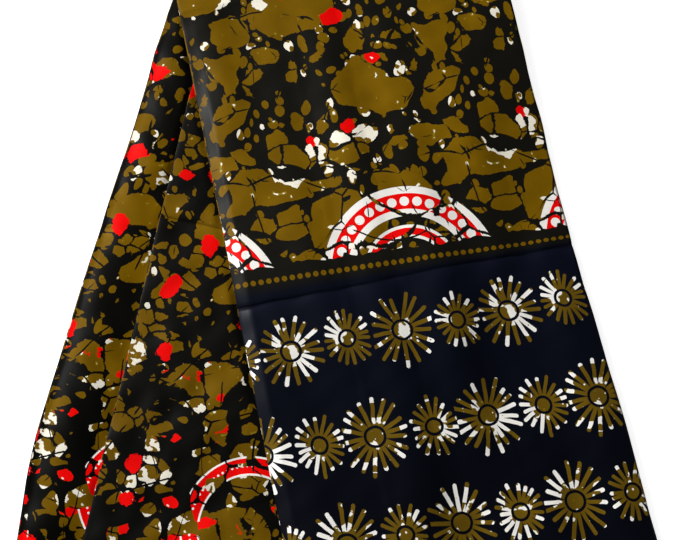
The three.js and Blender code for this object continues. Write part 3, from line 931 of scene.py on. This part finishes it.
def buildStarGroup():
    tree, ins, outs = newGroup(
        "starRows",
        [("Across", valueKind, 0.0), ("Down", valueKind, 0.0), ("Roll", vectorKind, None),
         ("First Row", valueKind, 78.0), ("Row Pitch", valueKind, 91.0), ("Rows", valueKind, 3.0)],
        [("Star", valueKind), ("White", valueKind), ("Rim", valueKind)])
    look, bleach = starLook, starWhite
    rowPlace = calc(tree, "DIVIDE", minus(tree, ins["Down"], ins["First Row"]), ins["Row Pitch"])
    row = calc(tree, "ROUND", rowPlace)
    y = times(tree, minus(tree, rowPlace, row), ins["Row Pitch"])
    notAbove = calc(tree, "GREATER_THAN", row, -0.5)
    inRows = times(tree, notAbove, calc(tree, "LESS_THAN", row, minus(tree, ins["Rows"], 0.5)))
    rowShift = plusPart(tree, look["rowShift"], row)
    place = calc(tree, "DIVIDE", plus(tree, ins["Across"], rowShift), look["pair"])
    pair = calc(tree, "FLOORED_MODULO", calc(tree, "FLOOR", place), 2.0)
    within = times(tree, calc(tree, "FRACT", place), look["pair"])
    large = calc(tree, "GREATER_THAN", within, look["largeFrom"])
    x = minus(tree, within, plusPart(tree, look["centre"], large))
    star = plus(tree, times(tree, pair, 2.0), large)
    seed = plus(tree, star, times(tree, row, 7.0))
    own, ownSplit = chanceAt(tree, joined(tree, seed, 3.0, 9.0))
    ownR, ownG, ownB = split(tree, ownSplit)
    strayX, strayY = look["stray"]
    x = minus(tree, x, times(tree, minus(tree, ownR, 0.5), strayX))
    y = minus(tree, y, times(tree, minus(tree, ownG, 0.5), strayY))
    # small bends so that no ray is ruler-straight
    bendSize, bendBy = look["bend"]
    _, bend = noiseAt(tree, ins["Roll"], bendSize, 1.0)
    bendX, bendY, _ = split(tree, calcVector(tree, "SUBTRACT", bend, (0.5, 0.5, 0.5)))
    x = plus(tree, x, times(tree, bendX, bendBy))
    y = plus(tree, y, times(tree, bendY, bendBy))
    radius = rootOfSquares(tree, x, y)
    angle = calc(tree, "ARCTAN2", y, x)
    rays = plus(tree, look["rays"], calc(tree, "FLOOR", times(tree, ownB, 2.99)))
    slot = times(tree, plus(tree, calc(tree, "DIVIDE", angle, 2 * math.pi), 1.0), rays)
    slotIndex = calc(tree, "FLOOR", slot)
    middleRow = calc(tree, "COMPARE", row, 1.0, 0.1)
    reach = plusPart(tree, look["reach"], large)
    reach = plus(tree, reach, times(tree, middleRow, look["middleRow"]))
    taller = plusPart(tree, look["taller"], large)
    ownTurn = times(tree, own, 2 * math.pi)
    shape = None
    white = None
    for step in (-1.0, 0.0, 1.0):
        index = plus(tree, slotIndex, step)
        wrapped = calc(tree, "FLOORED_MODULO", index, rays)
        _, lucky = chanceAt(tree, joined(tree, wrapped, seed, 2.0))
        luckA, luckB, luckC = split(tree, lucky)
        heading = plus(tree, index, plusPart(tree, (0.34, 0.32), luckA))
        heading = times(tree, calc(tree, "DIVIDE", heading, rays), 2 * math.pi)
        off = minus(tree, angle, heading)
        forward = times(tree, radius, calc(tree, "COSINE", off))
        aside = times(tree, radius, calc(tree, "SINE", off))
        upright = calc(tree, "ABSOLUTE", calc(tree, "SINE", heading))
        length = times(tree, reach, plusPart(tree, look["rayLength"], luckB))
        length = times(tree, length, plusPart(tree, (1.0, taller), times(tree, upright, upright)))
        past = calc(tree, "MAXIMUM", minus(tree, forward, length), 0.0)
        distance = rootOfSquares(tree, past, aside)
        ray = calc(tree, "LESS_THAN", distance, plusPart(tree, look["rayHalf"], large))
        # rays are white right out to their tips in one sector of the star, and some are tipped all round it
        aimed = calc(tree, "COSINE", minus(tree, heading, ownTurn))
        sector = calc(tree, "GREATER_THAN", aimed, plusPart(tree, bleach["sector"], ownG))
        sector = times(tree, sector, calc(tree, "GREATER_THAN", luckA, bleach["inSector"]))
        tipped = plusPart(tree, bleach["tipFrom"], luckC)
        rayed = plusPart(tree, bleach["rayFrom"], luckC)
        whiteFrom = plusPart(tree, (tipped, minus(tree, rayed, tipped)), sector)
        begin = times(tree, length, whiteFrom)
        shortened = calc(tree, "GREATER_THAN", luckB, bleach["short"])
        finish = plus(tree, length, plusPart(tree, bleach["finish"], shortened))
        begun = calc(tree, "GREATER_THAN", forward, begin)
        segment = times(tree, times(tree, begun, calc(tree, "LESS_THAN", forward, finish)), ray)
        shape = ray if shape is None else calc(tree, "MAXIMUM", shape, ray)
        white = segment if white is None else calc(tree, "MAXIMUM", white, segment)
    coreRadius = plusPart(tree, look["core"], large)
    core = calc(tree, "LESS_THAN", radius, coreRadius)
    apart = calc(tree, "GREATER_THAN", radius, plus(tree, coreRadius, look["darkRing"]))
    shape = calc(tree, "MAXIMUM", times(tree, shape, apart), core)
    # the dye left out on one side of a star, more on some than on others
    blotch, _ = noiseAt(tree, calcVector(tree, "ADD", ins["Roll"], (0.0, 140.0, 0.0)), look["blotch"], 2.0)
    sideTurn = minus(tree, angle, ownTurn)
    sideReach, sideShare = bleach["side"]
    side = times(tree, calc(tree, "COSINE", sideTurn), between(tree, radius, 0.0, sideReach))
    strength = times(tree, times(tree, ownG, ownG), sideShare)
    level = plus(tree, blotch, times(tree, side, strength))
    blotched = calc(tree, "GREATER_THAN", level, bleach["blotch"][1])
    speck, _ = noiseAt(tree, ins["Roll"], look["speck"], 0.0)
    fleck = calc(tree, "GREATER_THAN", speck, bleach["fleck"])
    unfleck = calc(tree, "GREATER_THAN", speck, bleach["unfleck"])
    rim = times(tree, between(tree, level, *bleach["blotch"]), unfleck)
    white = calc(tree, "MAXIMUM", calc(tree, "MAXIMUM", white, blotched), fleck)
    white = times(tree, white, unfleck)
    shape = times(tree, shape, inRows)
    plug(tree, outs["Rim"], times(tree, rim, shape))
    plug(tree, outs["Star"], shape)
    plug(tree, outs["White"], times(tree, white, shape))
    return tree


# A ring round a centre in every repeat: white, red with a row of dots, white, from the outside in.
def buildRingGroup():
    tree, ins, outs = newGroup(
        "dottedRing",
        [("Across", valueKind, 0.0), ("Down", valueKind, 0.0), ("Centre Across", valueKind, 0.0),
         ("Centre Down", valueKind, 0.0), ("Radius", valueKind, 90.0), ("Band", valueKind, 15.0),
         ("Rim", valueKind, 9.5), ("Dot", valueKind, 4.4), ("Dots", valueKind, 40.0)],
        [("White", valueKind), ("Red", valueKind), ("Ring", valueKind)])
    x = minus(tree, ins["Across"], ins["Centre Across"])
    x = calc(tree, "FLOORED_MODULO", plus(tree, x, repeatWidth / 2), repeatWidth)
    x = minus(tree, x, repeatWidth / 2)
    y = minus(tree, ins["Down"], ins["Centre Down"])
    radius = rootOfSquares(tree, x, y)
    angle = plus(tree, calc(tree, "DIVIDE", calc(tree, "ARCTAN2", y, x), 2 * math.pi), 1.0)
    off = minus(tree, radius, ins["Radius"])
    half = times(tree, ins["Band"], 0.5)
    side = calc(tree, "ABSOLUTE", off)
    red = calc(tree, "LESS_THAN", side, half)
    ring = calc(tree, "LESS_THAN", side, plus(tree, half, ins["Rim"]))
    part = minus(tree, calc(tree, "FRACT", times(tree, angle, ins["Dots"])), 0.5)
    pitch = calc(tree, "DIVIDE", times(tree, ins["Radius"], 2 * math.pi), ins["Dots"])
    aside = times(tree, part, pitch)
    dot = calc(tree, "LESS_THAN", rootOfSquares(tree, aside, off), ins["Dot"])
    red = times(tree, red, oneMinus(tree, dot))
    plug(tree, outs["Red"], red)
    plug(tree, outs["White"], minus(tree, ring, red))
    plug(tree, outs["Ring"], ring)
    return tree


# A line of round beads, twenty-eight to a repeat.
def buildBeadGroup():
    tree, ins, outs = newGroup(
        "beadLine",
        [("Across", valueKind, 0.0), ("Down", valueKind, 0.0), ("Line", valueKind, 330.0),
         ("Beads", valueKind, 28.0), ("Bead Radius", valueKind, 2.65)],
        [("Bead", valueKind)])
    pitch = calc(tree, "DIVIDE", repeatWidth, ins["Beads"])
    part = calc(tree, "FRACT", calc(tree, "DIVIDE", ins["Across"], pitch))
    x = times(tree, minus(tree, part, 0.5), pitch)
    y = minus(tree, ins["Down"], ins["Line"])
    plug(tree, outs["Bead"], calc(tree, "LESS_THAN", rootOfSquares(tree, x, y), ins["Bead Radius"]))
    return tree


# Places down the cloth from the front selvedge, in millimetres; a pair is where a change starts and ends
printPlaces = {
    "navy": (90.0, 300.0),          # the border's blue grows lighter
    "borderEnd": (316.0, 328.0),
    "crackleFrom": 345.0, "wideRingsTo": 600.0,
    "back": (670.0, 740.0), "changeFrom": 690.0,
    "highTo": (800.0, 900.0), "low": (960.0, 1130.0), "far": (990.0, 1070.0),
}
# How the dyes change over the cloth, with painted shade on the back half: each pair is a start and what
# place or the noise adds
dyeing = {
    "edge": (16.0, 26.0),       # the crackle's first row ends unevenly: noise size and height of it
    "groundShadeOnBack": (1.0, -0.52), "groundShadeLow": -0.28, "navy": (1.0, 0.9),
    "oliveSize": 30.0, "olive": (0.70, 0.64), "oliveShadeLow": (1.0, -0.19), "oliveShadeHigh": -0.14,
    "cream": (1.03, 1.0, 0.90), "creamShadeOnBack": (1.0, -0.14), "starRim": 0.8,
    "ringLoss": (30.0, 0.47),   # noise size and the level below which the narrow ring is missing
    "glazeOnDye": (1.0, -0.6),
}
# How the cells and the pebbles are drawn out: across, down, and what the back half adds to both
drawnOut = {"cells": (0.88, 1.12, 0.50), "pebbles": (1.0, 1.0, -0.20)}


def buildPrintGroup():
    tree, ins, outs = newGroup(
        "waxPrint",
        [("Cloth", vectorKind, None), ("Ground", colourKind, (0, 0, 0, 1)),
         ("Border Ground", colourKind, (0, 0, 0, 1)), ("Olive", colourKind, (0, 0, 0, 1)),
         ("Shaded Star Olive", colourKind, (0, 0, 0, 1)),
         ("Bloom", colourKind, (0, 0, 0, 1)), ("Red", colourKind, (0, 0, 0, 1)),
         ("White", colourKind, (0, 0, 0, 1)), ("Shine", valueKind, 0.1)],
        [("Color", colourKind), ("Gloss", valueKind)])
    roll = placeGroup(tree, buildRollGroup(), Cloth=ins["Cloth"])
    down = roll["Down"]
    look, dye = printPlaces, dyeing
    far = between(tree, down, *look["far"])
    back = between(tree, down, *look["back"])
    low = between(tree, down, *look["low"])
    # the cells are wider than high; they are finer on the back half, and the pebbles coarser
    rollX, rollY, _ = split(tree, roll["Roll"])
    past = calc(tree, "MAXIMUM", minus(tree, down, look["changeFrom"]), 0.0)
    places = []
    for wide, high, change in (drawnOut["cells"], drawnOut["pebbles"]):
        size = times(tree, plusPart(tree, (1.0, change), back), wide)
        length = plus(tree, down, times(tree, past, change))
        places.append(joined(tree, times(tree, rollX, size), times(tree, rollY, size),
                             times(tree, length, high)))
    crackle = placeGroup(tree, buildCrackleGroup(), Roll=roll["Roll"], Cells=places[0], Pebbles=places[1])
    stars = placeGroup(tree, buildStarGroup(), Roll=roll["Roll"], Across=roll["Across"], Down=down)
    ringGroup = buildRingGroup()
    place = {"Across": roll["Across"], "Down": down}
    wide = placeGroup(tree, ringGroup, **place, **printRings["wide"])
    inner = placeGroup(tree, ringGroup, **place, **printRings["inner"])
    narrow = placeGroup(tree, ringGroup, **place, **printRings["narrow"])
    beads = placeGroup(tree, buildBeadGroup(), **place)
    edgeSize, edgeHeight = dye["edge"]
    ragged, _ = noiseAt(tree, roll["Roll"], edgeSize, 1.0)
    edge = plus(tree, down, times(tree, minus(tree, ragged, 0.5), edgeHeight))
    body = calc(tree, "GREATER_THAN", edge, look["crackleFrom"])
    near = calc(tree, "LESS_THAN", down, look["wideRingsTo"])
    olive = times(tree, crackle["Olive"], body)
    # painted shade: the ground is darker on the back half, and darker still down its lower stretch
    backShade = plusPart(tree, dye["groundShadeOnBack"], back)
    ground = scaled(tree, ins["Ground"], plusPart(tree, (backShade, dye["groundShadeLow"]), low))
    navy = plusPart(tree, dye["navy"], between(tree, down, *look["navy"]))
    navyTint = scaled(tree, ins["Border Ground"], navy)
    colour = mixed(tree, between(tree, down, *look["borderEnd"]), navyTint, ground)
    # the olive dye took unevenly
    uneven, _ = noiseAt(tree, roll["Roll"], dye["oliveSize"], 2.0)
    uneven = plusPart(tree, dye["olive"], uneven)
    # painted shade: the olive is darker on the back half near the fold and down its lower stretch
    high = times(tree, back, oneMinus(tree, between(tree, down, *look["highTo"])))
    strength = plusPart(tree, (plusPart(tree, dye["oliveShadeLow"], low), dye["oliveShadeHigh"]), high)
    tint = scaled(tree, ins["Olive"], times(tree, uneven, strength))
    cream = calcVector(tree, "MULTIPLY", ins["White"], dye["cream"])
    # painted shade: the white is dimmer on the back half
    cream = scaled(tree, cream, plusPart(tree, dye["creamShadeOnBack"], back))
    colour = mixed(tree, olive, colour, tint)
    colour = mixed(tree, times(tree, crackle["Halo"], olive), colour, ins["Bloom"])
    colour = mixed(tree, times(tree, crackle["Red"], olive), colour, ins["Red"])
    colour = mixed(tree, times(tree, crackle["White"], olive), colour, cream)
    lossSize, lossLevel = dye["ringLoss"]
    lost, _ = noiseAt(tree, calcVector(tree, "ADD", roll["Roll"], (0.0, 0.0, 60.0)), lossSize, 1.0)
    pieces = times(tree, times(tree, far, crackle["Open"]), calc(tree, "GREATER_THAN", lost, lossLevel))
    whole = times(tree, times(tree, crackle["Open"], body), near)
    ringed = None
    for ring, shown in ((wide, whole), (inner, whole), (narrow, pieces)):
        colour = mixed(tree, times(tree, ring["White"], shown), colour, ins["White"])
        colour = mixed(tree, times(tree, ring["Red"], shown), colour, ins["Red"])
        here = times(tree, ring["Ring"], shown)
        ringed = here if ringed is None else calc(tree, "MAXIMUM", ringed, here)
    colour = mixed(tree, beads["Bead"], colour, ins["Olive"])
    # the stars take a darker copy of the olive, painted shade for the lower front
    colour = mixed(tree, stars["Star"], colour, scaled(tree, ins["Shaded Star Olive"], uneven))
    colour = mixed(tree, times(tree, stars["Rim"], dye["starRim"]), colour, ins["Bloom"])
    colour = mixed(tree, stars["White"], colour, ins["White"])
    plug(tree, outs["Color"], colour)
    inked = calc(tree, "MAXIMUM", calc(tree, "MAXIMUM", olive, stars["Star"]),
                 calc(tree, "MAXIMUM", ringed, beads["Bead"]))
    glazeLeft = plusPart(tree, dye["glazeOnDye"], inked)
    plug(tree, outs["Gloss"], times(tree, ins["Shine"], glazeLeft))
    return tree


# The weave: slubs as long streaks along each set of threads, and what they change; the creases bring
# painted shade and a painted highlight band into the colour, and change the gloss
weaveLook = {
    "slubAcross": (0.045, 1.6, 1.0), "slubDown": (1.6, 0.03, 1.0), "cloud": 45.0,
    "tone": (0.90, 0.10), "cloudTone": 0.16, "roughness": (0.50, 0.12),
    "paintedCreaseTone": (1.0, -0.65), "creaseGloss": (1.0, -0.9),
    "threadHeight": 0.5, "slubHeight": 1.2,
}


def buildWeaveGroup():
    tree, ins, outs = newGroup(
        "clothWeave",
        [("Cloth", vectorKind, None), ("Color", colourKind, (0, 0, 0, 1)), ("Gloss", valueKind, 0.0),
         ("Pressed", valueKind, 0.0), ("Thread", valueKind, 0.36)],
        [("Color", colourKind), ("Gloss", valueKind), ("Height", valueKind), ("Roughness", valueKind)])
    look = weaveLook
    place = scaled(tree, ins["Cloth"], 1000.0)
    across, down, _ = split(tree, place)
    turn = calc(tree, "DIVIDE", 2 * math.pi, ins["Thread"])
    warp = calc(tree, "SINE", times(tree, across, turn))
    weft = calc(tree, "SINE", times(tree, down, turn))
    over = times(tree, warp, weft)
    slubAcross, _ = noiseAt(tree, calcVector(tree, "MULTIPLY", place, look["slubAcross"]), 1.0, 2.0)
    slubDown, _ = noiseAt(tree, calcVector(tree, "MULTIPLY", place, look["slubDown"]), 1.0, 2.0)
    cloud, _ = noiseAt(tree, place, look["cloud"], 2.0)
    slub = plus(tree, slubAcross, slubDown)
    tone = plusPart(tree, look["tone"], slub)
    tone = plusPart(tree, (tone, look["cloudTone"]), minus(tree, cloud, 0.5))
    # painted shade on the crease lines and a painted highlight band below them, from the crease attribute
    shade = times(tree, tone, plusPart(tree, look["paintedCreaseTone"], ins["Pressed"]))
    plug(tree, outs["Color"], scaled(tree, ins["Color"], shade))
    glossLeft = plusPart(tree, look["creaseGloss"], ins["Pressed"])
    plug(tree, outs["Gloss"], times(tree, ins["Gloss"], glossLeft))
    threads = times(tree, over, look["threadHeight"])
    height = plus(tree, threads, times(tree, slub, look["slubHeight"]))
    plug(tree, outs["Height"], height)
    plug(tree, outs["Roughness"], plusPart(tree, look["roughness"], slub))
    return tree


# Rings, in millimetres: on the front half one inside the other, and a narrow one on the back half
printRings = {
    "wide": {"Centre Across": 172.0, "Centre Down": 318.0, "Radius": 70.0, "Band": 15.5, "Rim": 7.0,
             "Dot": 4.6, "Dots": 36.0},
    "inner": {"Centre Across": 172.0, "Centre Down": 318.0, "Radius": 40.0, "Band": 7.0, "Rim": 3.0,
              "Dot": 0.0, "Dots": 20.0},
    "narrow": {"Centre Across": 118.0, "Centre Down": 1172.0, "Radius": 54.0, "Band": 14.0, "Rim": 1.8,
               "Dot": 1.1, "Dots": 72.0},
}
printGroup = buildPrintGroup()
weaveGroup = buildWeaveGroup()

inks = {                # linear colours of the dyed cloth
    "Ground": (0.0054, 0.0050, 0.0031, 1),
    "Border Ground": (0.0007, 0.0012, 0.0038, 1),
    "Olive": (0.151, 0.079, 0.0003, 1),
    # the olive darkened for the star rows: painted shade
    "Shaded Star Olive": (0.116, 0.068, 0.0033, 1),
    "Bloom": (0.26, 0.18, 0.012, 1),
    "Red": (0.76, 0.0010, 0.0006, 1),
    "White": (0.83, 0.805, 0.75, 1),
}
cotton = {"thread": 0.36, "bump": 0.35, "bumpDepth": 0.00005, "glazeRoughness": 0.36}


def printedCotton(name, finish):
    # calendered cotton: the print on the cloth's own coordinates, then threads and slubs over it
    material = bpy.data.materials.new(name)
    material.use_nodes = True
    tree = material.node_tree
    shader = tree.nodes["Principled BSDF"]
    uvMap = tree.nodes.new("ShaderNodeUVMap")
    uvMap.uv_map = "Cloth"
    printed = placeGroup(tree, printGroup, Cloth=uvMap.outputs["UV"], Shine=finish["glaze"], **inks)
    # the painted crease shade and highlight laid on the mesh
    paintedCreaseShading = tree.nodes.new("ShaderNodeAttribute")
    paintedCreaseShading.attribute_name = "Pressed"
    weave = placeGroup(tree, weaveGroup, Cloth=uvMap.outputs["UV"], Color=printed["Color"],
                       Gloss=printed["Gloss"], Pressed=paintedCreaseShading.outputs["Fac"], Thread=cotton["thread"])
    bump = tree.nodes.new("ShaderNodeBump")
    bump.inputs["Strength"].default_value = cotton["bump"]
    bump.inputs["Distance"].default_value = cotton["bumpDepth"]
    plug(tree, bump.inputs["Height"], weave["Height"])
    plug(tree, shader.inputs["Base Color"], weave["Color"])
    plug(tree, shader.inputs["Roughness"], weave["Roughness"])
    plug(tree, shader.inputs["Normal"], bump.outputs["Normal"])
    plug(tree, shader.inputs["Coat Weight"], weave["Gloss"])
    shader.inputs["Coat Roughness"].default_value = cotton["glazeRoughness"]
    shader.inputs["Specular IOR Level"].default_value = finish["specular"]
    return material


# What differs from piece to piece: the glaze that calendering left on the cloth, and its own gloss
finishes = {
    "frontPrint": {"specular": 0.035, "glaze": 0.085},
    "upperPrint": {"specular": 0.035, "glaze": 0.085},
    "lowerPrint": {"specular": 0.018, "glaze": 0.036},
    "stackPrint": {"specular": 0.03, "glaze": 0.085},
}
for piece, name in ((frontPanel, "frontPrint"), (backUpper, "upperPrint"), (backLower, "lowerPrint"),
                    (hiddenLayers, "stackPrint")):
    piece.data.materials.append(printedCotton(name, finishes[name]))
print("print made")

# Every piece hangs from the root, and the frame's solids are hidden
for piece in (frontPanel, backUpper, backLower, hiddenLayers):
    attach(piece, "root")
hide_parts("front_panel", "top_turn")
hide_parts("back_panel_upper")
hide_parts("back_panel_lower")
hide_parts("hidden_layers")

# Floor, light and camera
stage = {
    "floorSize": 9.0, "floorGlow": 0.80,
    "skyLow": 0.17, "skyHigh": 3.2, "skyFrom": (-0.814, 0.296, 0.50),
    "lampTilt": (-17.2, -58.5), "lampDistance": 5.0, "lampSize": 1.9, "lampPower": 312.0,
}
half = stage["floorSize"] / 2
floorMesh = bpy.data.meshes.new("floor")
floorCorners = [(-half, -half, 0), (half, -half, 0), (half, half, 0), (-half, half, 0)]
floorMesh.from_pydata(floorCorners, [], [(0, 1, 2, 3)])
floor = bpy.data.objects.new("floor", floorMesh)
bpy.context.scene.collection.objects.link(floor)
floorPaint = bpy.data.materials.new("floorPaint")
floorPaint.use_nodes = True
floorShader = floorPaint.node_tree.nodes["Principled BSDF"]
floorShader.inputs["Base Color"].default_value = (0.80, 0.80, 0.80, 1)
floorShader.inputs["Roughness"].default_value = 0.9
floorShader.inputs["Specular IOR Level"].default_value = 0.1
floorShader.inputs["Emission Color"].default_value = (1.0, 1.0, 1.0, 1)
floorShader.inputs["Emission Strength"].default_value = stage["floorGlow"]
floorMesh.materials.append(floorPaint)

world = bpy.data.worlds.new("studio")
bpy.context.scene.world = world
world.use_nodes = True
# a soft sky that brightens towards one high corner
skyTree = world.node_tree
heading = skyTree.nodes.new("ShaderNodeTexCoord").outputs["Generated"]
facing = calcVector(skyTree, "DOT_PRODUCT", heading, stage["skyFrom"])
glow = between(skyTree, facing, 0.85, 1.0)
strength = plus(skyTree, stage["skyLow"], times(skyTree, glow, stage["skyHigh"]))
skyTree.nodes["Background"].inputs["Color"].default_value = (1.0, 1.0, 1.0, 1)
plug(skyTree, skyTree.nodes["Background"].inputs["Strength"], strength)
# one large round lamp, far off to the upper left
lampLight = bpy.data.lights.new("lamp", "AREA")
lampLight.shape = "DISK"
lampLight.size = stage["lampSize"]
lampLight.energy = stage["lampPower"]
lamp = bpy.data.objects.new("lamp", lampLight)
tiltX, tiltY = (math.radians(value) for value in stage["lampTilt"])
lamp.rotation_euler = (tiltX, tiltY, 0)
lamp.location = (math.cos(tiltX) * math.sin(tiltY) * stage["lampDistance"],
                 -math.sin(tiltX) * stage["lampDistance"],
                 math.cos(tiltX) * math.cos(tiltY) * stage["lampDistance"])
bpy.context.scene.collection.objects.link(lamp)

shot = {"elevation": 80.0, "distance": 0.8317, "lens": 45.0, "target": (0.1686, -0.294)}
cameraData = bpy.data.cameras.new("camera")
cameraData.lens = shot["lens"]
cameraData.sensor_width = 36
cameraData.clip_end = 50
camera = bpy.data.objects.new("camera", cameraData)
lift = math.radians(shot["elevation"])
camera.location = (cornerX + shot["target"][0],
                   cornerY + shot["target"][1] - shot["distance"] * math.cos(lift),
                   shot["distance"] * math.sin(lift))
camera.rotation_euler = (math.pi / 2 - lift, 0, 0)
bpy.context.scene.collection.objects.link(camera)
bpy.context.scene.camera = camera
bpy.context.scene.view_settings.view_transform = "Standard"
print("stage set")
